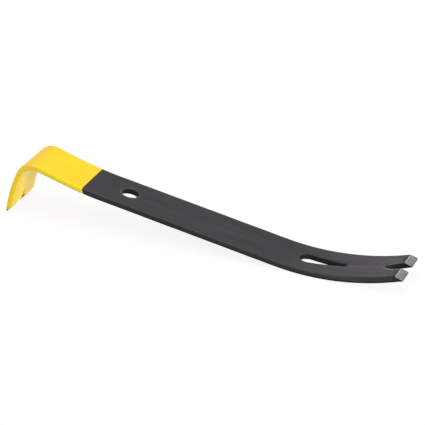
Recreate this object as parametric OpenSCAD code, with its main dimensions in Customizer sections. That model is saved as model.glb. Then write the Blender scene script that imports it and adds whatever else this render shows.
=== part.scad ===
// Flat pry bar: one forged spring-steel bar with a nail-notched hook at one
// end and a curved, notched claw at the other, finished with a black powder
// coat over the shank and claw and a yellow enamel over the hook end.
// The frame has its origin at the middle of the hanging hole, +X towards
// the claw, +Y across the bar and +Z up with the bar lying at rest on the
// edge of its hook and the heel of its claw.

/* [Bar] */
// Width of the finished bar
bar_width = 44.45; // [30:0.05:60]
// Thickness of the finished bar
bar_thick = 4.76; // [3:0.02:8]
// Radius that breaks the four long edges
edge_radius = 1.2; // [0.4:0.1:2]
// Thickness of the paint and of the powder coat
coat_thick = 0.2; // [0.1:0.05:0.4]

/* [Shank] */
// Straight length of the shank
shank_length = 147.82; // [80:0.01:300]
// Distance from the hook-side end of the straight shank to the hanging hole
hole_from_end = 18.82; // [12:0.01:60]
// Radius of the hanging hole
hole_radius = 5.9; // [3:0.05:10]
// Countersink that breaks both rims of the hanging hole
hole_sink = 1.5; // [0.2:0.05:2]

/* [Claw end] */
// Radius of the upper face where the claw sweeps up
claw_radius = 203.67; // [80:0.01:400]
// Length of the swept claw along the upper face
claw_length = 105.1; // [50:0.1:160]
// Length of the ground bevel behind the claw's edge
claw_bevel = 5.4; // [2:0.1:12]
// Depth of the claw's nail notch
notch_length = 18.6; // [8:0.1:30]
// Radius at the root of the nail notch
notch_radius = 3.2; // [1:0.1:4]
// Half of the notch's width at the mouth
notch_half_width = 5; // [3:0.1:9]
// Length over which the notch's sides run parallel
notch_parallel = 11; // [2:0.1:14]
// Width of the bevel around the nail notch
notch_bevel = 1.2; // [0.4:0.1:5]
// Depth of the bevel around the nail notch
notch_bevel_depth = 0.6; // [0.2:0.1:3.5]

/* [Nail slot] */
// Distance along the sweep to the middle of the teardrop nail slot
slot_position = 38.2; // [25:0.1:60]
// Distance between the centres of the slot's large end and small end
slot_spacing = 28.6; // [15:0.1:45]
// Radius of the slot's large end
slot_large_radius = 6.6; // [4:0.1:9]
// Radius of the slot's small end
slot_small_radius = 1.8; // [1:0.1:4]

/* [Hook end] */
// Radius of the gentle rise between shank and hook
rise_radius = 262.2; // [100:0.1:500]
// Angle of the gentle rise
rise_angle = 6.73; // [0:0.01:20]
// Straight length between the rise and the bend
rise_straight = 24.26; // [5:0.01:60]
// Outer radius of the bend
bend_radius = 14.03; // [8:0.01:30]
// Angle turned by the bend
bend_angle = 82.39; // [45:0.01:110]
// Outer radius of the slightly curled hook blade
hook_radius = 106.1; // [50:0.1:400]
// Length of the hook blade along its outer face
hook_length = 38.04; // [15:0.01:80]
// Length of the bevel on the inner face of the hook
hook_bevel = 6.4; // [2:0.1:12]
// Depth of the nail notch in the hook
hook_notch_length = 13.2; // [6:0.1:20]
// Half of the hook notch's width at the mouth
hook_notch_half_width = 4.6; // [2:0.1:8]
// Radius at the root of the hook notch
hook_notch_radius = 1.2; // [0.6:0.1:3]
// Distance along the rise where the yellow enamel meets the black coat
paint_position = 14.6; // [2:0.1:28]
// Lean of that colour line on the bar's sides, towards the claw at the bottom
paint_lean = 32; // [0:1:45]

/* [Tips] */
// Blunt land left on the claw's edge
claw_land = 0.7; // [0.2:0.05:1]
// Blunt land left on the hook's painted edge
hook_land = 0.65; // [0.6:0.05:1.4]
// Corner radius of the claw's tines
claw_corner = 0.6; // [0.5:0.1:5]
// Corner radius of the hook's tines
hook_corner = 2.2; // [0.5:0.1:6]

/* [View] */
// Which sub-part to draw

/* [Hidden] */
$fn = 96;

function arc_angle(length, radius) = length / radius * 180 / PI;

// laps and overruns
lap = 0.6;             // overlap of neighbouring runs, in mm x degrees
tip_over = 0.5;        // degrees the claw runs past its edge before grinding
black_core_over = 0.8; // the same for the core taken out of the black coat
sink_over = 1;         // height of the countersink cutter above the face
bevel_over = 2;        // height of the root bevel's cutter above its depth
mouth_over = 12;       // run of a notch cutter past the bar's edge
root_lap = [0.2, 0.02]; // how far a notch's sides start inside its root circle

// cutting blocks
block_width = 90;
tip_block = 20;
tip_clear = 10;
corner_over = [8, 4];  // run of a corner cutter past the edge and the side

// each notch is cut square to the bar at this distance short of the edge
claw_notch_setback = 8;
hook_notch_setback = 5;

// ends of the straight shank and angles of the swept runs
shank_hook_x = -hole_from_end;
shank_claw_x = shank_length - hole_from_end;
claw_angle = arc_angle(claw_length, claw_radius);
hook_angle = arc_angle(hook_length, hook_radius);
rise_arc = rise_angle * PI / 180 * rise_radius;

// [x, z] of the sweeps' centres and of the hook's point, before the tilt
claw_centre = [shank_claw_x, claw_radius];
bend_centre = [
    shank_hook_x - rise_radius * sin(rise_angle) - rise_straight * cos(rise_angle)
        - bend_radius * sin(rise_angle),
    rise_radius * (1 - cos(rise_angle)) + rise_straight * sin(rise_angle)
        - bend_radius * cos(rise_angle)];
blade_angle = bend_angle - rise_angle;
hook_centre = bend_centre
    + (hook_radius - bend_radius) * [sin(blade_angle), -cos(blade_angle)];
hook_point = hook_centre
    + hook_radius * [-sin(blade_angle + hook_angle), cos(blade_angle + hook_angle)];

// tilt that puts the hook's point and the claw's heel on one level
reach = claw_centre - hook_point;
tilt = atan2(reach[1], reach[0]) - asin((claw_radius + bar_thick) / norm(reach));

// ---------- frames along the bar (z = 0 on the upper face) ----------
module rest() { rotate([0, tilt, 0]) translate([0, 0, bar_thick / 2]) children(); }

// turns about the Y direction around a centre at the given height
module roll(height, angle) {
    translate([0, 0, height]) rotate([0, angle, 0]) translate([0, 0, -height]) children();
}

module on_claw(distance) {
    translate([shank_claw_x, 0, 0])
        roll(claw_radius, -arc_angle(distance, claw_radius)) children();
}

module on_rise(distance) {
    translate([shank_hook_x, 0, 0])
        roll(rise_radius, arc_angle(distance, rise_radius)) children();
}

module after_rise() { on_rise(rise_arc) translate([-rise_straight, 0, 0]) children(); }

module after_bend() { after_rise() roll(-bend_radius, -bend_angle) children(); }

module on_hook(distance) {
    after_bend() roll(-hook_radius, -arc_angle(distance, hook_radius)) children();
}

module at_colour_line() {
    on_rise(paint_position) rotate([0, -paint_lean, 0]) children();
}

// ---------- shared helpers ----------
function arc_points(centre, radius, start, turn, steps) =
    [for (i = [0:steps]) let (angle = start + i * turn / steps)
        centre + radius * [cos(angle), sin(angle)]];

module both_sides() {
    for (m = [0, 1]) mirror([0, m, 0]) children();
}

// extrudes an outline through the bar, standing clear of both faces
module through(clear) {
    translate([0, 0, -bar_thick - clear])
        linear_extrude(height = bar_thick + 2 * clear) children();
}

// block centred across the bar, from its low x and z
module block(x, z, length, height) {
    translate([x, -block_width / 2, z]) cube([length, block_width, height]);
}

// ---------- runs of the bar ----------
// Cross-section with depth below the upper face along x; the upper face is
// at x = radius, and side is 1 if depth adds to the radius, -1 if it takes
// away. shrink takes the section in on every side.
module section(shrink, radius, side) {
    face = radius + side * shrink;
    back = radius + side * (bar_thick - shrink);
    low = min(face, back) + edge_radius;
    high = max(face, back) - edge_radius;
    half = bar_width / 2 - shrink - edge_radius;
    polygon(concat(
        arc_points([high, half], edge_radius, 0, 90, 3),
        arc_points([low, half], edge_radius, 90, 90, 3),
        arc_points([low, -half], edge_radius, 180, 90, 3),
        arc_points([high, -half], edge_radius, 270, 90, 3)));
}

module straight(length, shrink) {
    rotate([0, 90, 0]) linear_extrude(height = length) section(shrink, 0, 1);
}

// curved run centred above (side = 1) or below (side = -1) the upper face;
// lead starts it early by that many degrees
module sweep(radius, angle, side, shrink, lead = 0, facets = 360) {
    translate([0, 0, side * radius]) rotate([90, 0, 0]) rotate([0, 0, -side * 90 - lead])
        rotate_extrude(angle = angle + lead, $fn = facets) section(shrink, radius, side);
}

// whole bar before its openings are cut; over is the overrun at the tips,
// in degrees, and counts twice on the hook
module bar(shrink, over) {
    translate([shank_hook_x, 0, 0]) straight(shank_length, shrink);
    translate([shank_claw_x, 0, 0]) sweep(claw_radius, claw_angle + over, 1, shrink);
    translate([shank_hook_x, 0, 0]) mirror([1, 0, 0])
        sweep(rise_radius, rise_angle + lap / rise_radius, 1, shrink);
    after_rise() straight(rise_straight, shrink);
    after_rise()
        sweep(bend_radius, bend_angle, -1, shrink, lead = lap / bend_radius, facets = 180);
    after_bend()
        sweep(hook_radius, hook_angle + 2 * over, -1, shrink, lead = lap / hook_radius);
}

// ---------- openings; grow opens them for the steel under the coat ----------
module hang_hole(grow) {
    clear = 5;
    rim = hole_radius + grow * 0.9; // slightly less than the bore's own growth
    sink_height = hole_sink + sink_over;
    translate([0, 0, -bar_thick - clear])
        cylinder(h = bar_thick + 2 * clear, r = hole_radius + grow);
    for (m = [0, 1])
        translate([0, 0, -bar_thick / 2]) mirror([0, 0, m])
            translate([0, 0, bar_thick / 2 - hole_sink])
                cylinder(h = sink_height, r1 = rim, r2 = rim + sink_height);
}

// teardrop with its large end towards the shank and tangent straight sides
module nail_slot(grow) {
    tangent = 90 - asin((slot_large_radius - slot_small_radius) / slot_spacing);
    on_claw(slot_position) through(clear = 5)
        polygon(concat(
            arc_points([-slot_spacing / 2, 0], slot_large_radius + grow,
                       tangent, 360 - 2 * tangent, 40),
            arc_points([slot_spacing / 2, 0], slot_small_radius + grow,
                       -tangent, 2 * tangent, 16)));
}

// side lists the three points of the notch's +Y side, from root to mouth
module notch(root_x, radius, side) {
    through(clear = 6) {
        translate([root_x, 0]) circle(r = radius);
        polygon(concat(side, [for (i = [2:-1:0]) [side[i][0], -side[i][1]]]));
    }
}

// sloped cutter along a line between two points, opening to its left
module bevel_run(start, end, width, depth) {
    run = end - start;
    translate([start[0], start[1], -depth]) rotate([0, 0, atan2(run[1], run[0])])
        rotate([atan2(notch_bevel_depth_or(depth), width), 0, 0])
            translate([0, -1, 0]) cube([norm(run), 14, 10]);
}

// the slope follows the depth that is cut
function notch_bevel_depth_or(depth) = depth;

module claw_notch(grow) {
    root_x = -notch_length + notch_radius;
    radius = notch_radius + grow;
    half = notch_half_width + grow;
    side = [
        [root_x + root_lap[0], radius - root_lap[1]],
        [-notch_parallel, half],
        [mouth_over, half]];
    depth = notch_bevel_depth + grow * 0.5;
    cone_radius = radius - 0.05; // just inside the root circle
    cone_height = notch_bevel_depth + bevel_over;
    on_claw(claw_length - claw_notch_setback) translate([claw_notch_setback, 0, 0]) {
        notch(root_x, radius, side);
        translate([root_x, 0, -depth])
            cylinder(h = cone_height, r1 = cone_radius,
                     r2 = cone_radius + notch_bevel * cone_height / notch_bevel_depth);
        both_sides()
            for (i = [0, 1]) bevel_run(side[i], side[i + 1], notch_bevel, depth);
    }
}

module hook_notch(grow) {
    root_x = hook_notch_length - hook_notch_radius;
    radius = hook_notch_radius + grow;
    half = hook_notch_half_width + grow;
    on_hook(hook_length - hook_notch_setback) translate([-hook_notch_setback, 0, 0])
        notch(root_x, radius, [
            [root_x - root_lap[0], radius - root_lap[1]],
            [0, half],
            [-mouth_over, half]]);
}

module openings(grow) {
    hang_hole(grow);
    nail_slot(grow);
    claw_notch(grow);
    hook_notch(grow);
}

// ---------- ground tips ----------
// outward is 1 where the tip points along +X, -1 where it points along -X
module tip_corners(radius, outward, grow = 0) {
    both_sides() translate([0, bar_width / 2 - radius, 0]) through(clear = 8)
        difference() {
            translate([outward > 0 ? -radius : -corner_over[0], 0])
                square([radius, radius] + corner_over);
            translate([-outward * radius, 0]) circle(r = radius - grow);
        }
}

// squares off the claw and bevels its upper face
module claw_ground() {
    on_claw(claw_length) {
        block(0, -bar_thick - tip_clear, tip_block, bar_thick + 2 * tip_clear);
        translate([0, 0, -bar_thick + claw_land])
            rotate([0, atan2(bar_thick - claw_land, claw_bevel), 0])
                block(-tip_block, 0, 2 * tip_block, tip_block);
        tip_corners(claw_corner, 1);
    }
}

// squares off the hook and bevels its inner face; grow takes the cut
// further in, for the steel under the enamel
module hook_ground(grow) {
    on_hook(hook_length) {
        block(-tip_block, -bar_thick - tip_clear,
              tip_block + grow, bar_thick + 2 * tip_clear);
        translate([0, 0, -hook_land])
            rotate([0, atan2(bar_thick - hook_land, hook_bevel), 0])
                block(-tip_block, -tip_block, 2 * tip_block, tip_block + grow);
        tip_corners(hook_corner, -1, grow);
    }
}

// ---------- sub-parts ----------
module steel_bar() {
    color([0.62, 0.62, 0.63]) rest() difference() {
        bar(coat_thick, tip_over);
        openings(coat_thick);
        claw_ground();
        hook_ground(coat_thick);
    }
}

module black_coat() {
    color([0.13, 0.13, 0.14]) rest() difference() {
        bar(0, tip_over);
        difference() {
            bar(coat_thick, black_core_over);
            openings(coat_thick);
        }
        openings(0);
        claw_ground();
        // everything on the hook's side of the colour line
        at_colour_line() block(-200, -100, 200, 150);
    }
}

module yellow_coat() {
    color([0.95, 0.8, 0.12]) rest() difference() {
        bar(0, tip_over);
        difference() {
            bar(coat_thick, tip_over);
            openings(coat_thick);
            hook_ground(coat_thick);
        }
        openings(0);
        hook_ground(0);
        // everything on the claw's side of the colour line
        at_colour_line() block(0, -250, 400, 500);
    }
}

steel_bar();
black_coat();
yellow_coat();
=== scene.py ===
import bpy, bmesh, math
import numpy as np
from mathutils import Vector, Matrix
from mathutils.geometry import delaunay_2d_cdt


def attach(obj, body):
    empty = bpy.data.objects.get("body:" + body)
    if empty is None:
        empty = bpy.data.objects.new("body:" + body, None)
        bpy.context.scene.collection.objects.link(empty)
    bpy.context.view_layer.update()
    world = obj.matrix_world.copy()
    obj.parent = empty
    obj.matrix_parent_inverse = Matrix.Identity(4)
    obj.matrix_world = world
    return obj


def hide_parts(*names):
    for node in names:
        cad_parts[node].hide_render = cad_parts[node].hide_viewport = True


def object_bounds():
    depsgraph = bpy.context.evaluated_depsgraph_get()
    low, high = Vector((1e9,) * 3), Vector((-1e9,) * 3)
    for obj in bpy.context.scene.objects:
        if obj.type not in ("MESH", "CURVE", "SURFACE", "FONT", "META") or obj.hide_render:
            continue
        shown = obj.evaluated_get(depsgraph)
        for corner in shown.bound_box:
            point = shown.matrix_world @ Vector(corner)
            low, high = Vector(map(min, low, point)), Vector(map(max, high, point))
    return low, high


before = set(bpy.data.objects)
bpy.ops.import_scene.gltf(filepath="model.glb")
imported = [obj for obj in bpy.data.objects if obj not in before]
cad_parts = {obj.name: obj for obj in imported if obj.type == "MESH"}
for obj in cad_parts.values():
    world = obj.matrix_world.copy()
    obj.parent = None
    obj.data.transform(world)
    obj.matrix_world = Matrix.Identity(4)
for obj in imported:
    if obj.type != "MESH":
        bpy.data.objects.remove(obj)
cad_lo, cad_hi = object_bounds()

# ======================================================================
# Sizes of the bar, in millimetres, as the CAD has them
# ======================================================================
W, T = 44.45, 4.76
H = W / 2
COAT = 0.2
HOLE_R, HOLE_C = 5.9, 1.5
R_CLAW, R_RISE, R_BEND, R_HOOK = 203.67, 262.2, 14.03, 106.1
TILT = math.radians(9.277022639169779)

# S runs along the bar's upper face; S = x on the straight shank
S_SHANK0, S_SHANK1 = -18.82, 129.0
S_RISE = S_SHANK0 - R_RISE * math.radians(6.73)
S_BEND0 = S_RISE - 24.26
S_BEND1 = S_BEND0 - R_BEND * math.radians(82.39)
H0 = S_BEND1 - 38.04            # hook's edge
C1 = S_SHANK1 + 105.1           # claw's edge
S_PAINT = S_SHANK0 - 14.6

CLAW_BEVEL, LAND = 5.4, 0.7
HOOK_BEVEL, HOOK_LAND = 6.4, 0.65
NOTCH_L, NOTCH_R, NOTCH_HW, NOTCH_PAR = 18.6, 3.2, 5.0, 11.0
NOTCH_BEV, NOTCH_BEV_D = 1.2, 0.6
SLOT_S, SLOT_C, SLOT_R1, SLOT_R2 = S_SHANK1 + 38.2, 28.6, 6.6, 1.8
HN_L, HN_HW, HN_R = 13.2, 4.6, 1.2

# ======================================================================
# The bent path: curvature along S, softened where one run meets the next
# ======================================================================
GS = np.arange(-170.0, 270.0, 0.05)
kap = np.zeros_like(GS)
kap[GS >= S_SHANK1] = 1 / R_CLAW
kap[(GS < S_SHANK0) & (GS >= S_RISE)] = 1 / R_RISE
kap[(GS < S_BEND0) & (GS >= S_BEND1)] = -1 / R_BEND
kap[GS < S_BEND1] = -1 / R_HOOK
win = 0.5 - 0.5 * np.cos(np.linspace(0, 2 * np.pi, 101)[1:-1])
kap = np.convolve(np.pad(kap, 49, mode="edge"), win / win.sum(), mode="valid")
TH = np.concatenate([[0], np.cumsum((kap[1:] + kap[:-1]) * 0.5 * 0.05)])
i50 = int(np.argmin(abs(GS - 50)))
TH = TH - TH[i50]
thm = (TH[1:] + TH[:-1]) / 2
PX = np.concatenate([[0], np.cumsum(np.cos(thm) * 0.05)])
PZ = np.concatenate([[0], np.cumsum(np.sin(thm) * 0.05)])
PX = PX - PX[i50] + 50
PZ = PZ - PZ[i50]


def place(p):
    """Points of the flat blank (S, y, z), z = 0 on the upper face, to metres in the row frame."""
    S, y, z = p[:, 0], p[:, 1], p[:, 2]
    th = np.interp(S, GS, TH)
    x = np.interp(S, GS, PX) - np.sin(th) * z
    zz = np.interp(S, GS, PZ) + np.cos(th) * z + T / 2
    c, s = math.cos(TILT), math.sin(TILT)
    return np.stack([x * c + zz * s, y, -x * s + zz * c], 1) / 1000


# ======================================================================
# Outline of the flat blank
# ======================================================================
def smooth01(t):
    t = np.clip(t, 0, 1)
    return t * t * (3 - 2 * t)


def edge_radius(S):
    """Rounding of the four long edges: soft on the shank and hook, crisper on the claw."""
    S = np.asarray(S, float)
    return 1.9 - 0.7 * smooth01((S - 120) / 60) - 0.7 * smooth01((-55 - S) / 35)


def thick_hook(S):
    return np.clip(HOOK_LAND + (S - H0) * (T - HOOK_LAND) / HOOK_BEVEL, HOOK_LAND, T)


def thick_claw(S):
    return np.clip(LAND + (C1 - S) * (T - LAND) / CLAW_BEVEL, LAND, T)


def columns():
    runs = [(H0, H0 + 9, 0.75), (H0 + 9, S_BEND1, 1.1), (S_BEND1, S_BEND0, 0.55), (S_BEND0, S_PAINT, 1.4),
            (S_PAINT, S_SHANK0, 1.4), (S_SHANK0, S_SHANK1, 1.8), (S_SHANK1, C1 - 20, 1.4), (C1 - 20, C1 - 8, 1.1),
            (C1 - 8, C1, 0.8)]
    out = []
    for a, b, h in runs:
        n = max(1, round((b - a) / h))
        out += [a + (b - a) * i / n for i in range(n)]
    return np.array(out + [C1])


COLS = columns()
LEAN = math.tan(math.radians(32))                                              # the colour line leans on the bar's sides
R_P = float(edge_radius(S_PAINT))
SP_A, SP_B = S_PAINT + LEAN * R_P, S_PAINT + LEAN * (T - R_P)                  # its ends on the flat of the side
CL_SIDE = C1 - (T - LAND - float(edge_radius(C1))) * CLAW_BEVEL / (T - LAND)   # where the bevel leaves the long side
CL_NOTCH = C1 - (T - LAND - NOTCH_BEV_D) * CLAW_BEVEL / (T - LAND)             # and where it meets the notch


def fillet(a, v, b, r, step=11.0):
    a, v, b = (np.array(q, float) for q in (a, v, b))
    d1, d2 = (a - v) / np.linalg.norm(a - v), (b - v) / np.linalg.norm(b - v)
    half = math.acos(max(-1, min(1, float(d1 @ d2)))) / 2
    t = r / math.tan(half)
    p1, p2 = v + d1 * t, v + d2 * t
    c = v + (d1 + d2) / np.linalg.norm(d1 + d2) * (r / math.sin(half))
    a1 = math.atan2(*(p1 - c)[::-1])
    da = (math.atan2(*(p2 - c)[::-1]) - a1 + math.pi) % (2 * math.pi) - math.pi
    n = max(2, math.ceil(abs(math.degrees(da)) / step))
    return [c + r * np.array([math.cos(a1 + da * i / n), math.sin(a1 + da * i / n)]) for i in range(n + 1)]


def tangent_angle(c, q, r):
    """Angle, at a circle's centre, of the point where the upper tangent from q touches it."""
    d = np.array(q, float) - np.array(c, float)
    base, beta = math.atan2(d[1], d[0]), math.acos(r / np.linalg.norm(d))
    cands = [base - beta, base + beta]
    return max(cands, key=lambda a: math.sin(a))


def half_outline():
    ch = np.array([H0 + HN_L - HN_R, 0.0])
    cc = np.array([C1 - NOTCH_L + NOTCH_R, 0.0])
    qh, qc = (H0, HN_HW), (C1 - NOTCH_PAR, NOTCH_HW)
    ah = tangent_angle(ch, qh, HN_R)
    ac = tangent_angle(cc, qc, NOTCH_R)
    th_ = ch + HN_R * np.array([math.cos(ah), math.sin(ah)])
    tc_ = cc + NOTCH_R * np.array([math.cos(ac), math.sin(ac)])
    verts = [th_, np.array(qh), np.array([H0, H]), np.array([C1, H]), np.array([C1, NOTCH_HW]), np.array(qc), tc_]
    radii = [0, 0.7, 2.2, 0.6, 0.4, 5.0, 0]
    legs = ["hn", "htip", "side", "ctip", "cn", "cn"]
    corner = [None, "htip", "side", "ctip", "ctip", "cn", None]
    pts, lab = [], []
    n = 9
    for i in range(n):                                  # root of the hook's notch
        a = ah * i / n
        pts.append(ch + HN_R * np.array([math.cos(a), math.sin(a)]))
        lab.append("hn")
    arcs = [[verts[0]]] + [fillet(verts[i - 1], verts[i], verts[i + 1], radii[i]) for i in range(1, 6)] + [[verts[6]]]
    for i in range(6):
        if i:
            for q in arcs[i][:-1]:
                pts.append(q)
                lab.append(corner[i])
        a, b = arcs[i][-1], arcs[i + 1][0]
        pts.append(a)
        lab.append(legs[i])
        if legs[i] == "side":
            inner = [s for s in COLS if a[0] + 0.3 < s < b[0] - 0.3]
            inner = [s for s in inner if abs(s - CL_SIDE) > 0.3 and not SP_A - 0.35 < s < SP_B + 0.35]
            inner = sorted(inner + [CL_SIDE, SP_A, SP_B])
            for s in inner:
                pts.append(np.array([s, H]))
                lab.append("side")
        else:
            length = np.linalg.norm(b - a)
            ts = [k / max(1, round(length / 0.7)) for k in range(1, max(1, round(length / 0.7)))]
            q = [a + (b - a) * t for t in ts]
            if legs[i] == "cn" and abs(a[1] - b[1]) < 1e-6:
                q = [p for p in q if abs(p[0] - CL_NOTCH) > 0.25] + [np.array([CL_NOTCH, NOTCH_HW])]
                q.sort(key=lambda p: -p[0])
            for p in q:
                pts.append(p)
                lab.append(legs[i])
    a_end = math.pi
    n = 12
    for i in range(n + 1):                              # root of the claw's notch
        a = ac + (a_end - ac) * i / n
        pts.append(cc + NOTCH_R * np.array([math.cos(a), math.sin(a)]))
        lab.append("cn")
    return np.array(pts), lab


up, up_lab = half_outline()
up[0, 1] = 0.0
up[-1, 1] = 0.0
dn = up[1:-1][::-1] * np.array([1, -1])
dn_lab = [up_lab[i - 1] for i in range(len(up) - 1, 1, -1)]
outer = np.concatenate([up, dn])
outer_lab = up_lab[:-1] + ["cn"] + []
outer_lab = up_lab[:-1] + [up_lab[i] for i in range(len(up) - 2, -1, -1)]
assert len(outer_lab) == len(outer)

nh = 72
hole = np.array([[HOLE_R * math.cos(2 * math.pi * i / nh), HOLE_R * math.sin(2 * math.pi * i / nh)] for i in range(nh)])


def slot_outline():
    b = math.asin((SLOT_R1 - SLOT_R2) / SLOT_C)
    a1 = math.pi / 2 - b
    big = [[-SLOT_C / 2 + SLOT_R1 * math.cos(a), SLOT_R1 * math.sin(a)]
           for a in np.linspace(a1, 2 * math.pi - a1, 45)]
    small = [[SLOT_C / 2 + SLOT_R2 * math.cos(a), SLOT_R2 * math.sin(a)] for a in np.linspace(-a1, a1, 17)]
    out = []
    loop = big + small
    for i, p in enumerate(loop):
        q = loop[(i + 1) % len(loop)]
        out.append(p)
        d = math.dist(p, q)
        if d > 1.2:
            n = round(d / 1.0)
            out += [[p[0] + (q[0] - p[0]) * k / n, p[1] + (q[1] - p[1]) * k / n] for k in range(1, n)]
    return np.array(out) + np.array([SLOT_S, 0])


slot = slot_outline()


def seg_dist(p, a, b):
    """Distance of points p to the nearest of segments a-b."""
    out = np.full(len(p), 1e9)
    d = b - a
    dd = np.maximum((d * d).sum(1), 1e-12)
    for i in range(0, len(p), 2000):
        q = p[i:i + 2000]
        t = np.clip(((q[:, None, :] - a[None]) * d[None]).sum(2) / dd[None], 0, 1)
        e = q[:, None, :] - (a[None] + d[None] * t[..., None])
        out[i:i + 2000] = np.sqrt((e * e).sum(2).min(1))
    return out


oa, ob_ = outer, np.roll(outer, -1, 0)
lab_arr = np.array(outer_lab)


def d_label(p, *names):
    m = np.isin(lab_arr, names)
    return seg_dist(p, oa[m], ob_[m])


def d_hole(p):
    return np.hypot(p[:, 0], p[:, 1]) - HOLE_R


def d_slot(p):
    x = abs(p[:, 1])
    y = p[:, 0] - (SLOT_S - SLOT_C / 2)
    b = (SLOT_R1 - SLOT_R2) / SLOT_C
    a = math.sqrt(1 - b * b)
    k = -b * x + a * y
    return np.where(k < 0, np.hypot(x, y) - SLOT_R1,
                    np.where(k > a * SLOT_C, np.hypot(x, y - SLOT_C) - SLOT_R2, a * x + b * y - SLOT_R1))


def round_drop(d, r):
    d = np.clip(d, 0, None)
    t = np.clip(r - d, 0, r)
    return r - np.sqrt(np.clip(r * r - t * t, 0, None))


def smax(a, b, k):
    h = np.clip(0.5 + 0.5 * (a - b) / k, 0, 1)
    return b + (a - b) * h + k * h * (1 - h)


def ground_top(S):
    return -(T - LAND) + (C1 - S) * (T - LAND) / CLAW_BEVEL


def fields(p):
    """Heights of the upper and lower faces, and the distances they come from."""
    S = p[:, 0]
    ds, dcn = d_label(p, "side"), d_label(p, "cn")
    dhn, dht, dct = d_label(p, "hn"), d_label(p, "htip"), d_label(p, "ctip")
    dh, dsl = d_hole(p), d_slot(p)
    th, tc = thick_hook(S), thick_claw(S)
    r_top = np.minimum(edge_radius(S), 0.42 * th)
    r_bot = np.minimum(np.minimum(edge_radius(S), 0.42 * th), 0.42 * tc)
    drop = round_drop(ds, r_top)
    drop = np.maximum(drop, round_drop(dhn, np.minimum(0.55, 0.42 * th)))
    drop = np.maximum(drop, round_drop(dht, np.minimum(0.45, 0.42 * th)))
    drop = np.maximum(drop, round_drop(dsl, 1.15))
    drop = smax(drop, HOLE_C - dh, 0.22)
    drop = smax(drop, NOTCH_BEV_D * (1 - dcn / NOTCH_BEV), 0.12)
    rise = round_drop(ds, r_bot)
    rise = np.maximum(rise, round_drop(dhn, np.minimum(0.55, 0.42 * th)))
    rise = np.maximum(rise, round_drop(dht, np.minimum(0.45, 0.42 * th)))
    rise = np.maximum(rise, round_drop(dsl, 1.15))
    rise = np.maximum(rise, round_drop(dcn, np.minimum(0.5, 0.42 * tc)))
    rise = smax(rise, HOLE_C - dh, 0.22)
    base = -T + smax(T - (HOOK_LAND + (S - H0) * (T - HOOK_LAND) / HOOK_BEVEL), 0.0 * S, 0.35)
    return -drop, base + rise, np.minimum.reduce([ds, dcn, dhn, dht, dct, dh, dsl])


# ======================================================================
# Points of the flat blank
# ======================================================================
def normals_in(loop, sign):
    d = np.roll(loop, -1, 0) - np.roll(loop, 1, 0)
    n = np.stack([-d[:, 1], d[:, 0]], 1) * sign
    return n / np.linalg.norm(n, axis=1)[:, None]


def area2(loop):
    x, y = loop[:, 0], loop[:, 1]
    return float((x * np.roll(y, -1) - y * np.roll(x, -1)).sum())


n_out = normals_in(outer, 1 if area2(outer) > 0 else -1)      # inward = into the metal
n_hole = normals_in(hole, -1 if area2(hole) > 0 else 1)
n_slot = normals_in(slot, -1 if area2(slot) > 0 else 1)

QUART = [18, 36, 54, 72, 90]
CN_OFFS = [0.07, 0.25, 0.55, 0.9, 1.2, 1.5, 2.0]
offs = []                                                     # (point, offset) rings that carry each rounding


def ring(p, n, ds):
    for d in ds:
        offs.append((p[0] + n[0] * d, p[1] + n[1] * d, d))


for p, n, l in zip(outer, n_out, [outer_lab[i] for i in range(len(outer))]):
    if l == "side":
        r = float(min(edge_radius(p[0]), 0.42 * thick_hook(p[0])))
        ring(p, n, [r * (1 - math.cos(math.radians(a))) for a in QUART] + [r + 0.3, r + 0.95])
    elif l in ("hn", "htip"):
        r = float(min(0.5, 0.42 * thick_hook(p[0])))
        ring(p, n, [r * (1 - math.cos(math.radians(a))) for a in (30, 60, 90)] + [r + 0.3, r + 0.8])
    elif l == "cn":
        ring(p, n, CN_OFFS)
    else:
        ring(p, n, [0.35, 0.9])
for p, n in zip(hole, n_hole):
    ring(p, n, [0.35, 0.75, 1.15, 1.4, 1.6, 1.9, 2.5])
for p, n in zip(slot, n_slot):
    ring(p, n, [0.056, 0.22, 0.47, 0.8, 1.15, 1.5, 2.1])
offs = np.array(offs)
d_all = np.minimum.reduce([seg_dist(offs[:, :2], oa, ob_), d_hole(offs), d_slot(offs)])
offs = offs[d_all > offs[:, 2] * 0.93 - 1e-4]

ROWS = np.linspace(-H + 3.4, H - 3.4, 29)


def crease(ys):
    """S at which the claw's ground bevel meets the coated upper face, for each y."""
    lo = np.full(len(ys), C1 - 9.0)
    hi = np.full(len(ys), C1 - 0.2)
    for _ in range(40):
        mid = (lo + hi) / 2
        zt = fields(np.stack([mid, ys], 1))[0]
        up_ = ground_top(mid) > zt
        lo = np.where(up_, mid, lo)
        hi = np.where(up_, hi, mid)
    return (lo + hi) / 2


rc = float(edge_radius(C1))
ys_c = [NOTCH_HW] + [NOTCH_HW + d for d in CN_OFFS]
ys_c += [y for y in ROWS if NOTCH_HW + 2.5 < y < H - rc - 1.4]
ys_c += [H - (rc + 0.95), H - (rc + 0.3)] + [H - rc * (1 - math.cos(math.radians(a))) for a in QUART[::-1]] + [H]
ys_c = np.array(ys_c)
sc = crease(ys_c)
sc[0], sc[-1] = CL_NOTCH, CL_SIDE
crease_up = np.stack([sc, ys_c], 1)
crease_dn = crease_up * np.array([1, -1])
ys_p = [H] + [H - R_P * (1 - math.cos(math.radians(a))) for a in QUART] + [H - R_P - 0.3, H - R_P - 0.95]
ys_p = np.array(sorted(set([-y for y in ys_p] + [y for y in ROWS if abs(y) < H - 3.2] + ys_p)))
dip = round_drop(H - abs(ys_p), R_P)
paint_t = np.stack([S_PAINT + LEAN * dip, ys_p], 1)           # colour line on the upper face
paint_b = np.stack([S_PAINT + LEAN * (T - dip), ys_p], 1)     # and on the lower one

pts, edges = [], []
key = {}


def add(p):
    k = (round(p[0] * 2000), round(p[1] * 2000))
    if k not in key:
        key[k] = len(pts)
        pts.append((float(p[0]), float(p[1])))
    return key[k]


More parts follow.
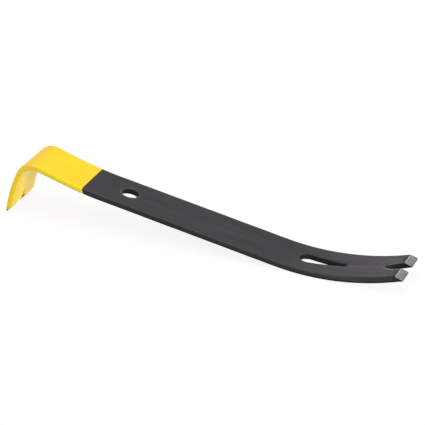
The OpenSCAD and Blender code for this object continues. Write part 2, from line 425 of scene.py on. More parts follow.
def chain(loop, closed):
    ids = [add(p) for p in loop]
    for i in range(len(ids) - (0 if closed else 1)):
        a, b = ids[i], ids[(i + 1) % len(ids)]
        if a != b:
            edges.append((a, b))


chain(outer, True)
chain(hole, True)
chain(slot, True)
chain(crease_up, False)
chain(crease_dn, False)
chain(paint_t, False)
chain(paint_b, False)
fixed = np.array(pts)


class Near:
    """Keeps added points apart."""

    def __init__(self, cell):
        self.c, self.g = cell, {}

    def near(self, p, r):
        i, j = int(p[0] // self.c), int(p[1] // self.c)
        for a in (i - 1, i, i + 1):
            for b in (j - 1, j, j + 1):
                for q in self.g.get((a, b), ()):
                    if (q[0] - p[0]) ** 2 + (q[1] - p[1]) ** 2 < r * r:
                        return True
        return False

    def put(self, p):
        self.g.setdefault((int(p[0] // self.c), int(p[1] // self.c)), []).append((p[0], p[1]))


near = Near(1.0)
for p in pts:
    near.put(p)
line_pts = Near(1.0)
for p in np.concatenate([crease_up, crease_dn, paint_t, paint_b]):
    line_pts.put(p)
for x, y, d in offs:
    if near.near((x, y), 0.045) or line_pts.near((x, y), 0.28):
        continue
    near.put((x, y))
    add((x, y))
grid = np.array([(s, y) for s in COLS for y in ROWS])
gd = np.minimum.reduce([seg_dist(grid, oa, ob_), d_hole(grid), d_slot(grid)])
grid = grid[gd > 0.5]
for p in grid:
    if near.near(p, 0.62):
        continue
    near.put(p)
    add(p)

res = delaunay_2d_cdt([Vector(p) for p in pts], edges, [], 0, 1e-6)
V2 = np.array([(v.x, v.y) for v in res[0]])
F2 = np.array([tuple(f) for f in res[2]], int)
cen = V2[F2].mean(1)


def inside(p, loop):
    a, b = loop, np.roll(loop, -1, 0)
    out = np.zeros(len(p), bool)
    for i in range(0, len(p), 4000):
        q = p[i:i + 4000]
        cross = (a[None, :, 1] > q[:, None, 1]) != (b[None, :, 1] > q[:, None, 1])
        with np.errstate(divide="ignore", invalid="ignore"):
            xs = (b[None, :, 0] - a[None, :, 0]) * (q[:, None, 1] - a[None, :, 1]) / (b[None, :, 1] - a[None, :, 1]) + a[None, :, 0]
        out[i:i + 4000] = (cross & (q[:, None, 0] < xs)).sum(1) % 2 == 1
    return out


keep = inside(cen, outer) & ~inside(cen, hole) & ~inside(cen, slot)
F2 = F2[keep]
cr = np.cross(V2[F2[:, 1]] - V2[F2[:, 0]], V2[F2[:, 2]] - V2[F2[:, 0]])
F2[cr < 0] = F2[cr < 0][:, ::-1]
used = np.unique(F2)
remap = np.full(len(V2), -1)
remap[used] = np.arange(len(used))
V2, F2 = V2[used], remap[F2]
cen = V2[F2].mean(1)

# ======================================================================
# Whole outer surface in the flat: upper face, lower face, walls
# ======================================================================
zt, zb, rim = fields(V2)
g = ground_top(V2[:, 0])
on_claw = V2[:, 0] > C1 - 12
cr_s = np.interp(abs(V2[:, 1]), ys_c, sc)
is_ground = on_claw & (V2[:, 0] >= cr_s - 1e-3)
zt = np.where(is_ground, np.minimum(zt, g), zt)
zt = np.where(is_ground & (abs(V2[:, 0] - cr_s) < 2e-3), g, zt)
zt = np.maximum(zt, zb + 0.03)


def waves(S, y, seed):
    """Long, shallow unevenness that hot forging leaves, in mm."""
    rng = np.random.RandomState(seed)
    out = np.zeros(len(S))
    for _ in range(9):
        lx, ly = rng.uniform(16, 70), rng.uniform(14, 60)
        out += rng.uniform(0.3, 1.0) * np.sin(S * 2 * np.pi / lx + y * 2 * np.pi / ly * rng.choice([-1, 1]) + rng.uniform(0, 6.28))
    return out / 4.0


fade_tip = smooth01((C1 - V2[:, 0] - 8) / 20) * smooth01((V2[:, 0] - H0 - 5) / 12)
zt = zt + 0.035 * waves(V2[:, 0], V2[:, 1], 3) * fade_tip
zb = zb + 0.045 * waves(V2[:, 0], V2[:, 1], 8) * fade_tip

n2 = len(V2)
he = {}
for f in F2:
    for i in range(3):
        he[(f[i], f[(i + 1) % 3])] = True
border = [(a, b) for (a, b) in he if (b, a) not in he]
VO = np.concatenate([np.column_stack([V2, zt]), np.column_stack([V2, zb])])
faces, region = [], []          # region: 0 steel, 1 black, 2 yellow


def coat_of(p, line):
    return 1 if p[0] > np.interp(p[1], ys_p, line[:, 0]) else 2


cs_cen = np.interp(abs(cen[:, 1]), ys_c, sc)
for f, c, s_c in zip(F2, cen, cs_cen):
    faces.append(tuple(f))
    region.append(0 if (c[0] > C1 - 12 and c[0] > s_c) else coat_of(c, paint_t))
for f, c in zip(F2, cen):
    faces.append((f[2] + n2, f[1] + n2, f[0] + n2))
    region.append(coat_of(c, paint_b))
mid = np.array([(V2[a] + V2[b]) / 2 for a, b in border])
d_ct = d_label(mid, "ctip")
for (a, b), m, dc in zip(border, mid, d_ct):
    if SP_A < m[0] < SP_B and abs(m[1]) > H - 0.01:            # the colour line runs corner to corner here
        if V2[a, 0] < V2[b, 0]:
            faces += [(a, a + n2, b + n2), (a, b + n2, b)]
            region += [2, 1]
        else:
            faces += [(a, a + n2, b), (a + n2, b + n2, b)]
            region += [1, 2]
        continue
    faces.append((a, a + n2, b + n2, b))
    region.append(0 if (m[0] > C1 - 3 and dc < 1e-3) else coat_of(m, paint_t))
region = np.array(region)


def vertex_normals(V, faces, which):
    N = np.zeros_like(V)
    for n_ in (3, 4):
        idx = [i for i in which if len(faces[i]) == n_]
        if not idx:
            continue
        F = np.array([faces[i] for i in idx])
        for k in range(n_):
            p, q, r = V[F[:, k]], V[F[:, (k + 1) % n_]], V[F[:, k - 1]]
            e1, e2 = q - p, r - p
            c = np.cross(e1, e2)
            l1 = np.linalg.norm(e1, axis=1) * np.linalg.norm(e2, axis=1) + 1e-12
            ln = np.linalg.norm(c, axis=1) + 1e-12
            ang = np.arctan2(ln, (e1 * e2).sum(1))
            np.add.at(N, F[:, k], c / ln[:, None] * ang[:, None])
    return N / np.maximum(np.linalg.norm(N, axis=1), 1e-9)[:, None]


coat_faces = np.nonzero(region > 0)[0]
touched = np.zeros(len(VO), bool)
for i in coat_faces:
    touched[list(faces[i])] = True
Nc = vertex_normals(VO, faces, coat_faces)
touch_steel = np.zeros(len(VO), bool)
for i in np.nonzero(region == 0)[0]:
    touch_steel[list(faces[i])] = True
VI = VO.copy()
VI[touched] = VO[touched] - COAT * Nc[touched]
# where a coat is cut by the claw's ground faces its inner edge stays in the cut
mg = np.array([(T - LAND) / CLAW_BEVEL, 0, 1.0])
mg /= np.linalg.norm(mg)
me = np.array([1.0, 0, 0])
for i in np.nonzero(touched & touch_steel)[0]:
    p, n = VO[i], Nc[i]
    planes = []
    if abs(p[2] - ground_top(p[0])) < 0.02 and p[2] > -T + LAND - 0.02:
        planes.append(mg)
    if p[0] > C1 - 1e-3:
        planes.append(me)
    if len(planes) == 1:
        m_ = planes[0]
        t = n - (n @ m_) * m_
    elif len(planes) == 2:
        l_ = np.cross(planes[0], planes[1])
        l_ /= np.linalg.norm(l_)
        t = l_ * (n @ l_)
    else:
        t = n
    k = float(t @ n)
    if k > 0.15:
        VI[i] = p - t * (COAT / k)
    else:
        VI[i] = p - n * COAT

d2 = np.concatenate([rim, rim])
# painted shade in the openings: 1 on the walls of the hole, slot and claw notch and on the far side of the countersunk
# rim, 0 on the open faces
far_chamfer_shade = smooth01((HOLE_C + 0.25 - d_hole(V2)) / 0.5) * smooth01((V2[:, 1] / HOLE_R - 0.1) / 0.7)
recess_shade = np.maximum.reduce([smooth01((0.7 - d_hole(V2)) / 0.5), far_chamfer_shade, 0.85 * smooth01((0.85 - d_slot(V2)) / 0.6),
                         smooth01((0.6 - d_label(V2, "cn")) / 0.4) * (V2[:, 0] < C1 - 0.5)])
cnd = np.concatenate([d_label(V2, "cn")] * 2)
recess_shade = np.concatenate([recess_shade, recess_shade])
ringd = np.concatenate([d_hole(V2)] * 2)
flatco = np.concatenate([VO, VO])


def make(name, verts, fcs, attrs, mat):
    me_ = bpy.data.meshes.new(name)
    me_.from_pydata([tuple(v) for v in verts], [], [tuple(int(i) for i in f) for f in fcs])
    me_.update()
    for an, arr in attrs.items():
        if arr.ndim == 1:
            at = me_.attributes.new(an, "FLOAT", "POINT")
            at.data.foreach_set("value", arr.astype(np.float32))
        else:
            at = me_.attributes.new(an, "FLOAT_VECTOR", "POINT")
            at.data.foreach_set("vector", arr.astype(np.float32).ravel())
    ob = bpy.data.objects.new(name, me_)
    bpy.context.scene.collection.objects.link(ob)
    bm = bmesh.new()
    bm.from_mesh(me_)
    for f in bm.faces:
        f.smooth = True
    for e in bm.edges:
        if len(e.link_faces) == 2 and e.calc_face_angle(0) > math.radians(33):
            e.smooth = False
    bm.to_mesh(me_)
    bm.free()
    me_.materials.append(mat)
    mod = ob.modifiers.new("normals", "WEIGHTED_NORMAL")
    mod.keep_sharp = True
    mod.mode = "FACE_AREA_WITH_ANGLE"
    mod.weight = 50
    return ob


def compact(V, fcs, *arrs):
    u = np.unique(np.concatenate([np.array(f) for f in fcs]))
    m = np.full(len(V), -1)
    m[u] = np.arange(len(u))
    return V[u], [tuple(m[list(f)]) for f in fcs], [a[u] for a in arrs]


PO, PI_ = place(VO), place(VI)
crz = np.interp(abs(VO[:, 1]), ys_c, sc)
tipd = np.abs(VO[:, 0] - crz)


def shell(r):
    idx = np.nonzero(region == r)[0]
    fs = [faces[i] for i in idx]
    n = len(VO)
    es = {}
    for f in fs:
        for i in range(len(f)):
            es[(f[i], f[(i + 1) % len(f)])] = True
    out = list(fs) + [tuple(v + n for v in f[::-1]) for f in fs]
    for (a, b) in es:
        if (b, a) not in es:
            out.append((b, a, a + n, b + n))
    V = np.concatenate([PO, PI_])
    return compact(V, out, np.concatenate([VO, VI]), *[np.concatenate([q, q]) for q in (d2, tipd, recess_shade, ringd, cnd)])


# ======================================================================
# Materials, all procedural
# ======================================================================
class Nodes:
    def __init__(self, name):
        self.m = bpy.data.materials.new(name)
        self.m.use_nodes = True
        self.t = self.m.node_tree
        self.t.nodes.clear()
        self.out = self.n("ShaderNodeOutputMaterial")
        self.bsdf = self.n("ShaderNodeBsdfPrincipled")
        self.l(self.bsdf.outputs[0], self.out.inputs["Surface"])

    def n(self, kind, **kw):
        nd = self.t.nodes.new(kind)
        for k, v in kw.items():
            setattr(nd, k, v)
        return nd

    def l(self, a, b):
        self.t.links.new(a, b)

    def put(self, nd, name, v):
        s = nd.inputs[name] if not isinstance(name, int) else nd.inputs[name]
        if hasattr(v, "is_linked") or isinstance(v, bpy.types.NodeSocket):
            self.l(v, s)
        else:
            s.default_value = v

    def attr(self, name, vec=False):
        nd = self.n("ShaderNodeAttribute", attribute_name=name)
        return nd.outputs["Vector"] if vec else nd.outputs["Fac"]

    def math(self, op, a, b=0.0, c=None, clamp=False):
        nd = self.n("ShaderNodeMath", operation=op)
        nd.use_clamp = clamp
        self.put(nd, 0, a)
        self.put(nd, 1, b)
        if c is not None:
            self.put(nd, 2, c)
        return nd.outputs[0]

    def scale(self, v, s):
        nd = self.n("ShaderNodeVectorMath", operation="MULTIPLY")
        self.put(nd, 0, v)
        nd.inputs[1].default_value = s
        return nd.outputs[0]

    def noise(self, v, scale, detail=2.0, rough=0.5, dist=0.0):
        nd = self.n("ShaderNodeTexNoise")
        self.put(nd, "Vector", v)
        nd.inputs["Scale"].default_value = scale
        nd.inputs["Detail"].default_value = detail
        nd.inputs["Roughness"].default_value = rough
        nd.inputs["Distortion"].default_value = dist
        return nd.outputs["Fac"]

    def voronoi(self, v, scale, feature="F1"):
        nd = self.n("ShaderNodeTexVoronoi", feature=feature)
        self.put(nd, "Vector", v)
        nd.inputs["Scale"].default_value = scale
        return nd.outputs["Distance"]

    def ramp(self, f, stops):
        nd = self.n("ShaderNodeValToRGB")
        self.put(nd, 0, f)
        el = nd.color_ramp.elements
        while len(el) < len(stops):
            el.new(0.5)
        for e, (p, c) in zip(el, stops):
            e.position = p
            e.color = (c, c, c, 1) if not isinstance(c, tuple) else (*c, 1)
        return nd.outputs[0]

    def range(self, f, a, b, c, d):
        nd = self.n("ShaderNodeMapRange")
        nd.clamp = True
        self.put(nd, 0, f)
        for i, v in enumerate((a, b, c, d)):
            nd.inputs[i + 1].default_value = v
        return nd.outputs[0]

    def mix(self, f, a, b, blend="MIX"):
        nd = self.n("ShaderNodeMix", data_type="RGBA", blend_type=blend)
        for i, v in ((0, f), (6, a), (7, b)):
            if isinstance(v, bpy.types.NodeSocket):
                self.l(v, nd.inputs[i])
            elif i == 0:
                nd.inputs[i].default_value = v
            else:
                nd.inputs[i].default_value = (*v, 1)
        return nd.outputs[2]

    def mixf(self, f, a, b):
        nd = self.n("ShaderNodeMix", data_type="FLOAT")
        for i, v in ((0, f), (2, a), (3, b)):
            self.put(nd, i, v)
        return nd.outputs[0]

    def bump(self, h, strength, dist, prev=None):
        nd = self.n("ShaderNodeBump")
        nd.inputs["Strength"].default_value = strength
        nd.inputs["Distance"].default_value = dist
        self.put(nd, "Height", h)
        if prev is not None:
            self.l(prev, nd.inputs["Normal"])
        return nd.outputs[0]


def black_material():
    k = Nodes("black_powder_coat")
    co = k.attr("flat", True)
    rim_ = k.attr("rim")
    obj = k.n("ShaderNodeTexCoord").outputs["Object"]
    sep = k.n("ShaderNodeSeparateXYZ")
    k.l(co, sep.inputs[0])
    sS = sep.outputs[0]
    # broad tone, long rolling streaks that grow towards the claw, and fine speckle
    broad = k.noise(k.scale(co, (0.018, 0.05, 0.05)), 1.0, 3.0, 0.55)
    streak = k.noise(k.scale(co, (0.008, 0.15, 0.12)), 1.0, 5.0, 0.75)
    streak2 = k.noise(k.scale(co, (0.015, 0.55, 0.4)), 1.0, 4.0, 0.65)
    speck = k.noise(obj, 2600.0, 2.0, 0.6)
    claw = k.range(sS, 135.0, 225.0, 0.0, 1.0)
    tone = k.math("MULTIPLY_ADD", k.math("SUBTRACT", broad, 0.5), 0.014, 0.027)
    st = k.math("MULTIPLY", k.math("SUBTRACT", streak, 0.5), k.mixf(claw, 0.030, 0.150))
    st2 = k.math("MULTIPLY", k.math("SUBTRACT", streak2, 0.5), k.mixf(claw, 0.018, 0.090))
    tone = k.math("ADD", tone, k.math("ADD", st, st2))
    tone = k.math("ADD", tone, k.math("MULTIPLY", k.math("SUBTRACT", speck, 0.5), 0.008))
    # painted highlight: the tone is made lighter towards the claw, where it curves up into the light
    tone = k.math("ADD", tone, k.math("MULTIPLY", claw, 0.040))
    tone = k.math("MAXIMUM", tone, 0.012)
    comb = k.n("ShaderNodeCombineColor")
    k.l(k.math("MULTIPLY", tone, 1.0), comb.inputs[0])
    k.l(k.math("MULTIPLY", tone, 0.925), comb.inputs[1])
    k.l(k.math("MULTIPLY", tone, 1.03), comb.inputs[2])
    # scorched, mottled band that grinding the tips leaves beside each bevel
    heat = k.math("MULTIPLY", k.range(sS, C1 - 15.0, C1 - 7.0, 0.0, 1.0), k.range(k.noise(k.scale(co, (0.42, 0.12, 0.3)), 1.0, 3.0, 0.6), 0.38, 0.56, 0.0, 1.0))
    tint = k.mix(k.range(k.noise(k.scale(co, (0.6, 0.13, 0.3)), 1.0, 2.0, 0.5), 0.44, 0.56, 0.0, 1.0), (0.006, 0.005, 0.005), (0.092, 0.070, 0.061))
    base = k.mix(k.math("MULTIPLY", heat, 0.85), comb.outputs[0], tint)
    soot = k.math("MULTIPLY", k.range(sS, C1 - CLAW_BEVEL - 2.2, C1 - CLAW_BEVEL - 0.9, 0.0, 0.7), k.range(k.noise(k.scale(co, (0.25, 0.12, 0.3)), 1.0, 2.0, 0.5), 0.36, 0.6, 1.0, 0.35))
    base = k.mix(soot, base, (0.012, 0.010, 0.010))
    # rubbed rims: the coat thins and polishes along the edges, with a few nicks to the metal
    edge = k.range(rim_, 0.25, 1.5, 1.0, 0.0)
    rub_n = k.noise(obj, 420.0, 4.0, 0.65)
    rub = k.math("MULTIPLY", edge, k.range(rub_n, 0.50, 0.72, 0.0, 1.0))
    col = k.mix(k.math("MULTIPLY", rub, 0.35), base, (0.085, 0.083, 0.082))
    nick = k.math("MULTIPLY", k.range(rim_, 0.1, 0.75, 1.0, 0.0), k.range(k.noise(obj, 900.0, 3.0, 0.7), 0.69, 0.73, 0.0, 1.0))
    col = k.mix(k.math("MULTIPLY", nick, 0.7), col, (0.26, 0.25, 0.24))
    # painted highlight: a lighter ring, broken up by noise, on the upper rim of the hole's countersink
    ring_ = k.attr("ringd")
    ring_highlight = k.math("MULTIPLY", k.range(k.math("ABSOLUTE", k.math("SUBTRACT", ring_, HOLE_C + 0.45)), 0.1, 0.6, 1.0, 0.0),
                       k.range(k.noise(obj, 240.0, 3.0, 0.6), 0.36, 0.6, 0.0, 1.0))
    upper = k.range(sep.outputs[2], -1.0, -0.4, 0.0, 1.0)
    col = k.mix(k.math("MULTIPLY", k.math("MULTIPLY", ring_highlight, upper), 0.8), col, (0.12, 0.117, 0.115))
    # painted highlight along the rim of the claw's notch, lighter on the near side than on the far one
    cn_ = k.attr("cnd")
    notch_rim_highlight = k.math("MULTIPLY", k.range(cn_, 0.35, 0.7, 0.0, 1.0), k.range(cn_, 1.5, 2.5, 1.0, 0.0))
    notch_rim_highlight = k.math("MULTIPLY", notch_rim_highlight, k.range(sep.outputs[1], -1.2, 1.6, 1.0, 0.06))
    notch_rim_highlight = k.math("MULTIPLY", notch_rim_highlight, k.range(sS, C1 - NOTCH_L - 1.2, C1 - NOTCH_L + 1.6, 0.25, 1.0))
    notch_rim_highlight = k.math("MULTIPLY", notch_rim_highlight, k.math("MULTIPLY", upper, k.range(k.noise(k.scale(co, (0.22, 0.5, 0.3)), 1.0, 3.0, 0.6), 0.3, 0.6, 0.6, 1.0)))
    col = k.mix(k.math("MULTIPLY", notch_rim_highlight, 0.95), col, (0.36, 0.35, 0.335))
    # painted shade: the base colour is darkened, and its reflection lowered, inside the openings and along the lower
    # rims
    low = k.math("MULTIPLY", k.range(rim_, 1.0, 2.0, 1.0, 0.0), k.range(sep.outputs[2], -T + 1.3, -T + 2.3, 1.0, 0.0))
    # painted shade on the claw's long sides and on the shoulders of the upper face, away from the claw's notch
    side = k.math("MULTIPLY", k.range(rim_, 1.7, 2.5, 1.0, 0.0), k.range(sS, 150.0, 210.0, 0.0, 0.72))
    flank_shade = k.range(k.math("ABSOLUTE", sep.outputs[1]), H - 1.3, H - 0.5, 0.0, 0.55)
    side = k.math("MAXIMUM", side, k.math("MULTIPLY", flank_shade, k.range(sep.outputs[2], -0.8, -0.2, 1.0, 0.3)))
    side = k.math("MULTIPLY", side, k.range(cn_, 2.0, 4.0, 0.0, 1.0))
    # painted shade along the far upper rim
    far_rim_shade = k.math("MULTIPLY", k.range(rim_, 0.5, 1.7, 0.5, 0.0), k.range(sep.outputs[1], 0.0, 2.0, 0.0, 1.0))
    far_rim_shade = k.math("MULTIPLY", k.math("MULTIPLY", far_rim_shade, upper), k.range(k.math("MINIMUM", cn_, ring_), 3.0, 5.0, 0.0, 1.0))
    side = k.math("MAXIMUM", side, k.math("MULTIPLY", far_rim_shade, k.range(sep.outputs[1], H - 4.5, H - 3.0, 0.0, 1.0)))
    # painted shade at the root of the claw's notch, dulling the light its rim catches
    root = k.math("MULTIPLY", k.range(cn_, 0.6, 1.8, 1.0, 0.0), k.range(sS, C1 - NOTCH_L - 0.2, C1 - NOTCH_L + 1.4, 0.75, 0.0))
    side = k.math("MAXIMUM", side, root)
    painted_shade = k.math("MAXIMUM", k.math("MULTIPLY", k.attr("recess_shade"), 0.85), k.math("MAXIMUM", k.math("MULTIPLY", low, 0.95), side))
    col = k.mix(painted_shade, col, (0.004, 0.0038, 0.0040))
    k.l(k.math("MULTIPLY_ADD", painted_shade, -0.26, 0.30), k.bsdf.inputs["Specular IOR Level"])
    k.l(col, k.bsdf.inputs["Base Color"])
    r = k.math("ADD", 0.44, k.math("MULTIPLY", k.noise(obj, 160.0, 3.0, 0.6), 0.12))
    r = k.math("ADD", r, k.math("MULTIPLY", k.math("SUBTRACT", streak, 0.5), 0.16))
    r = k.math("SUBTRACT", r, k.math("MULTIPLY", rub, 0.12))
    k.l(r, k.bsdf.inputs["Roughness"])
    k.l(k.math("MULTIPLY", nick, 0.6), k.bsdf.inputs["Metallic"])
    peel = k.noise(obj, 1150.0, 2.0, 0.5)
    b1 = k.bump(peel, 0.22, 0.00012)
    b2 = k.bump(streak2, 0.25, 0.00018, b1)
    b3 = k.bump(k.noise(obj, 90.0, 2.0, 0.5), 0.12, 0.0006, b2)
    b4 = k.bump(k.math("SUBTRACT", 1.0, nick), 0.5, 0.00008, b3)
    k.l(b4, k.bsdf.inputs["Normal"])
    return k.m


def yellow_material():
    k = Nodes("yellow_enamel")
    co = k.attr("flat", True)
    rim_ = k.attr("rim")
    obj = k.n("ShaderNodeTexCoord").outputs["Object"]
    sep = k.n("ShaderNodeSeparateXYZ")
    k.l(co, sep.inputs[0])
    sS = sep.outputs[0]
    broad = k.noise(k.scale(co, (0.03, 0.05, 0.05)), 1.0, 3.0, 0.55)
    fine = k.noise(obj, 700.0, 3.0, 0.6)
    c = k.mix(k.range(broad, 0.3, 0.7, 0.0, 1.0), (0.835, 0.512, 0.008), (0.870, 0.555, 0.016))
    c = k.mix(k.math("MULTIPLY", k.range(fine, 0.35, 0.65, 0.0, 1.0), 0.22), c, (0.82, 0.505, 0.005))
    # enamel thins to a warmer tone on the rims
    edge = k.range(rim_, 0.1, 1.3, 1.0, 0.0)
    c = k.mix(k.math("MULTIPLY", edge, 0.35), c, (0.70, 0.475, 0.010))
    # painted reflection: the hook's inner face is made paler and more peach, as if lit from the floor, and painted
    # shade darkens its near part
    inner = k.math("MULTIPLY", k.range(sep.outputs[2], -T + 0.1, -T + 1.0, 1.0, 0.0), k.range(sS, S_BEND1, S_BEND1 + 16.0, 1.0, 0.0))
    c = k.mix(k.math("MULTIPLY", inner, k.range(broad, 0.3, 0.7, 0.6, 0.9)), c, (0.995, 0.800, 0.170))
    # painted shade on the near part of the hook's inner face
    c = k.mix(k.math("MULTIPLY", inner, k.range(sep.outputs[1], -H + 4.0, -H + 14.0, 0.9, 0.0)), c, (0.72, 0.480, 0.060))
    # painted shade makes the narrow sides darker and greener, and a painted reflection makes the bend's outer face
    # paler
    ya = k.math("ABSOLUTE", sep.outputs[1])
    wall = k.math("MULTIPLY", k.range(ya, H - 1.5, H - 0.4, 0.0, 1.0), k.range(sep.outputs[2], -0.9, -0.3, 1.0, 0.25))
    c = k.mix(wall, c, (0.61, 0.445, 0.011))
    # painted reflection on the bend's outer face
    pale = k.math("MULTIPLY", k.range(sep.outputs[2], -0.6, -0.1, 0.0, 1.0), k.range(sS, S_BEND1 + 2.0, S_BEND0 - 3.0, 1.0, 0.0))
    pale = k.math("MULTIPLY", pale, k.range(sS, S_BEND1 - 6.0, S_BEND1 + 3.0, 0.1, 1.0))
    c = k.mix(k.math("MULTIPLY", pale, k.range(ya, H - 2.0, H - 0.5, 0.45, 0.0)), c, (0.96, 0.74, 0.30))
    # worn metal at the hook's edge and at odd nicks along the rims
    wearn = k.noise(obj, 520.0, 4.0, 0.68)
    tip = k.range(sS, H0 + 0.25, H0 + 1.5, 1.0, 0.0)
    w_tip = k.range(k.math("ADD", k.math("MULTIPLY", tip, 0.62), k.math("MULTIPLY", wearn, 0.62)), 0.76, 0.84, 0.0, 1.0)
    nick = k.math("MULTIPLY", k.range(rim_, 0.1, 0.8, 1.0, 0.0), k.range(wearn, 0.715, 0.745, 0.0, 1.0))
    worn = k.math("MAXIMUM", w_tip, nick)
    c = k.mix(worn, c, (0.17, 0.14, 0.11))
    # painted shade: a darker, greener lower rim under the bar; darker grime at the hook's points and lip
    low = k.math("MULTIPLY", k.range(rim_, 0.8, 1.8, 1.0, 0.0), k.range(sep.outputs[2], -T + 0.6, -T + 1.7, 1.0, 0.0))
    low = k.math("MULTIPLY", low, k.range(sS, S_BEND1 - 4.0, S_BEND1 + 8.0, 0.0, 0.5))
    point = k.math("MULTIPLY", k.range(sS, H0 + 1.2, H0 + 4.5, 0.9, 0.0), k.range(ya, H - 4.0, H - 1.0, 0.0, 1.0))
    lip = k.range(sS, H0 + 0.8, H0 + 2.6, 0.5, 0.0)
    c = k.mix(low, c, (0.40, 0.33, 0.030))
    c = k.mix(k.math("MAXIMUM", lip, point), c, (0.20, 0.17, 0.025))
    # the mouth of the hook's notch is darkened to near black
    notch_mouth_dark = k.math("MULTIPLY", k.range(rim_, 0.02, 0.4, 1.0, 0.0), k.range(ya, HN_HW + 0.4, HN_HW + 1.0, 1.0, 0.0))
    notch_mouth_dark = k.math("MULTIPLY", notch_mouth_dark, k.range(k.math("ADD", sS, k.math("MULTIPLY", wearn, 3.0)), H0 + 7.0, H0 + 8.2, 1.0, 0.0))
    c = k.mix(k.math("MULTIPLY", notch_mouth_dark, 0.93), c, (0.012, 0.009, 0.004))
    k.l(c, k.bsdf.inputs["Base Color"])
    k.l(k.mixf(worn, k.math("ADD", 0.30, k.math("MULTIPLY", k.noise(obj, 130.0, 3.0, 0.6), 0.12)), 0.5), k.bsdf.inputs["Roughness"])
    k.l(k.math("MULTIPLY", worn, 0.75), k.bsdf.inputs["Metallic"])
    k.bsdf.inputs["Specular IOR Level"].default_value = 0.26
    b1 = k.bump(k.noise(obj, 620.0, 2.0, 0.5), 0.12, 0.00014)
    b2 = k.bump(k.noise(obj, 75.0, 2.0, 0.5), 0.10, 0.0007, b1)
    b3 = k.bump(k.math("SUBTRACT", 1.0, worn), 0.6, 0.00012, b2)
    k.l(b3, k.bsdf.inputs["Normal"])
    return k.m


def steel_material():
    k = Nodes("ground_steel")
    co = k.attr("flat", True)
    rim_ = k.attr("rim")
    tipd_ = k.attr("tipd")
    obj = k.n("ShaderNodeTexCoord").outputs["Object"]
    # grinding lines run along the bevel's fall, with broader chatter across it
    grind = k.noise(k.scale(co, (0.5, 9.0, 0.5)), 1.0, 4.0, 0.65)
    grind2 = k.noise(k.scale(co, (0.25, 3.0, 0.3)), 1.0, 3.0, 0.6)
    blot = k.noise(obj, 330.0, 4.0, 0.7)
    f = k.math("ADD", k.math("MULTIPLY", grind, 0.55), k.math("MULTIPLY", blot, 0.45))
    c = k.mix(k.range(f, 0.38, 0.62, 0.0, 1.0), (0.17, 0.165, 0.166), (0.44, 0.43, 0.432))
    sep = k.n("ShaderNodeSeparateXYZ")
    k.l(co, sep.inputs[0])
    burr = k.math("MAXIMUM", k.range(tipd_, 0.2, 0.95, 1.0, 0.0), k.range(rim_, 0.05, 0.45, 0.35, 0.0))
    c = k.mix(k.math("MULTIPLY", burr, 0.7), c, (0.72, 0.715, 0.71))
    end = k.range(k.math("ADD", sep.outputs[0], k.math("MULTIPLY", blot, 0.5)), C1 - 0.35, C1 + 0.2, 0.0, 1.0)
    c = k.mix(k.math("MULTIPLY", end, 0.75), c, (0.09, 0.088, 0.088))
    k.l(c, k.bsdf.inputs["Base Color"])
    k.bsdf.inputs["Metallic"].default_value = 0.85
    k.l(k.math("ADD", 0.42, k.math("MULTIPLY", grind2, 0.2)), k.bsdf.inputs["Roughness"])
    b1 = k.bump(grind, 0.5, 0.00006)
    b2 = k.bump(grind2, 0.35, 0.00022, b1)
    k.l(b2, k.bsdf.inputs["Normal"])
    return k.m


M_BLACK, M_YELLOW, M_STEEL = black_material(), yellow_material(), steel_material()

def named(arrs):
    return dict(zip(("flat", "rim", "tipd", "recess_shade", "ringd", "cnd"), arrs))


vb, fb, arr = shell(1)
black = make("black_powder_coat_shell", vb, fb, named(arr), M_BLACK)
vy, fy, arr = shell(2)
yellow = make("yellow_enamel_shell", vy, fy, named(arr), M_YELLOW)
steel = make("forged_steel_bar", PI_, faces, named((VO, d2, tipd, recess_shade, ringd, cnd)), M_STEEL)
for ob, node, sl in ((black, "black_coat", "black_powder_coat"), (yellow, "yellow_coat", "yellow_enamel"), (steel, "steel_bar", "bare_steel")):
    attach(ob, "root")
    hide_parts(node)

# ======================================================================
# Floor, light, camera
# ======================================================================
z_floor = cad_lo.z - 0.00003
bm = bmesh.new()
bmesh.ops.create_circle(bm, cap_ends=True, segments=96, radius=60.0)
me_f = bpy.data.meshes.new("floor")
bm.to_mesh(me_f)
bm.free()
floor = bpy.data.objects.new("floor", me_f)
floor.location = (0, 0, z_floor)
bpy.context.scene.collection.objects.link(floor)
fm = Nodes("pale_floor")
lp = fm.n("ShaderNodeLightPath")
fm.l(fm.mix(lp.outputs["Is Camera Ray"], (0.80, 0.80, 0.80), (0.96, 0.96, 0.96)), fm.bsdf.inputs["Base Color"])
fm.bsdf.inputs["Roughness"].default_value = 1.0
fm.bsdf.inputs["Specular IOR Level"].default_value = 0.0
# most of what the camera sees of the floor is an even white, so shadows stay faint
fm_em = fm.n("ShaderNodeEmission")
fm_em.inputs["Color"].default_value = (0.99, 0.99, 0.99, 1)
fm_mix = fm.n("ShaderNodeMixShader")
fm.l(fm.math("MULTIPLY", lp.outputs["Is Camera Ray"], 0.90), fm_mix.inputs[0])
fm.l(fm.bsdf.outputs[0], fm_mix.inputs[1])
fm.l(fm_em.outputs[0], fm_mix.inputs[2])
fm.l(fm_mix.outputs[0], fm.out.inputs["Surface"])
me_f.materials.append(fm.m)

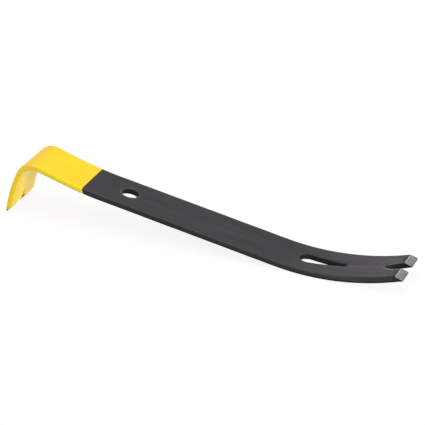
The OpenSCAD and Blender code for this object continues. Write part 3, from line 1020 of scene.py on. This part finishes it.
world = bpy.data.worlds.new("studio")
bpy.context.scene.world = world
world.use_nodes = True
wt = world.node_tree
wt.nodes.clear()
w_out = wt.nodes.new("ShaderNodeOutputWorld")
w_bg = wt.nodes.new("ShaderNodeBackground")
w_cam = wt.nodes.new("ShaderNodeBackground")
w_mix = wt.nodes.new("ShaderNodeMixShader")
w_lp = wt.nodes.new("ShaderNodeLightPath")
w_tc = wt.nodes.new("ShaderNodeTexCoord")
w_sep = wt.nodes.new("ShaderNodeSeparateXYZ")
w_map = wt.nodes.new("ShaderNodeMapRange")
w_map.inputs[1].default_value, w_map.inputs[2].default_value = 0.0, 0.8
w_map.inputs[3].default_value, w_map.inputs[4].default_value = 0.30, 1.05
w_back = wt.nodes.new("ShaderNodeMapRange")
w_back.inputs[1].default_value, w_back.inputs[2].default_value = -0.4, 0.9
w_back.inputs[3].default_value, w_back.inputs[4].default_value = 1.15, 0.6
w_mul = wt.nodes.new("ShaderNodeMath")
w_mul.operation = "MULTIPLY"
wt.links.new(w_tc.outputs["Generated"], w_sep.inputs[0])
wt.links.new(w_sep.outputs[2], w_map.inputs[0])
wt.links.new(w_sep.outputs[1], w_back.inputs[0])
wt.links.new(w_map.outputs[0], w_mul.inputs[0])
wt.links.new(w_back.outputs[0], w_mul.inputs[1])
wt.links.new(w_mul.outputs[0], w_bg.inputs["Strength"])
w_bg.inputs["Color"].default_value = (1, 1, 1, 1)
w_cam.inputs["Color"].default_value = (1, 1, 1, 1)
w_cam.inputs["Strength"].default_value = 0.98
wt.links.new(w_lp.outputs["Is Camera Ray"], w_mix.inputs[0])
wt.links.new(w_bg.outputs[0], w_mix.inputs[1])
wt.links.new(w_cam.outputs[0], w_mix.inputs[2])
wt.links.new(w_mix.outputs[0], w_out.inputs[0])


def area(name, loc, target, size, power, size_y=None):
    d = bpy.data.lights.new(name, "AREA")
    d.shape = "RECTANGLE"
    d.size, d.size_y = size, size_y or size
    d.energy = power
    o = bpy.data.objects.new(name, d)
    o.location = loc
    o.rotation_mode = "QUATERNION"
    o.rotation_quaternion = (Vector(target) - Vector(loc)).to_track_quat("-Z", "Y")
    o.visible_camera = False
    bpy.context.scene.collection.objects.link(o)
    return o


area("key", (-0.4, 0.1, 1.9), (0.05, 0, 0), 1.6, 8.0)
area("fill_left", (-1.4, -0.3, 0.7), (-0.05, 0, 0), 0.8, 4.0)
area("fill_right", (1.5, -0.35, 0.08), (-0.06, 0, 0.0), 0.9, 35.0)
area("fill_front", (1.0, -1.2, 0.10), (-0.08, 0, -0.01), 0.7, 7.0)

cam_d = bpy.data.cameras.new("camera")
cam = bpy.data.objects.new("camera", cam_d)
cam_d.sensor_fit = "HORIZONTAL"
cam_d.sensor_width = 36.0
cam_d.lens = 2260.580794053 / 425 * 36.0
right = Vector((0.938064840109, 0.340413056002, 0.064446156246))
upv = Vector((-0.197487317939, 0.372544038999, 0.906757794706))
fwd = Vector((-0.284663160604, 0.863324904257, -0.416697725798))
rot = Matrix((right, upv, -fwd)).transposed()
cam.matrix_world = Matrix.Translation(Vector((575.260326203677, -1532.303498182148, 740.083481313168)) / 1000) @ rot.to_4x4()
bpy.context.scene.collection.objects.link(cam)
bpy.context.scene.camera = cam
bpy.context.scene.view_settings.view_transform = "Standard"
bpy.context.scene.view_settings.look = "None"

bpy.context.view_layer.update()
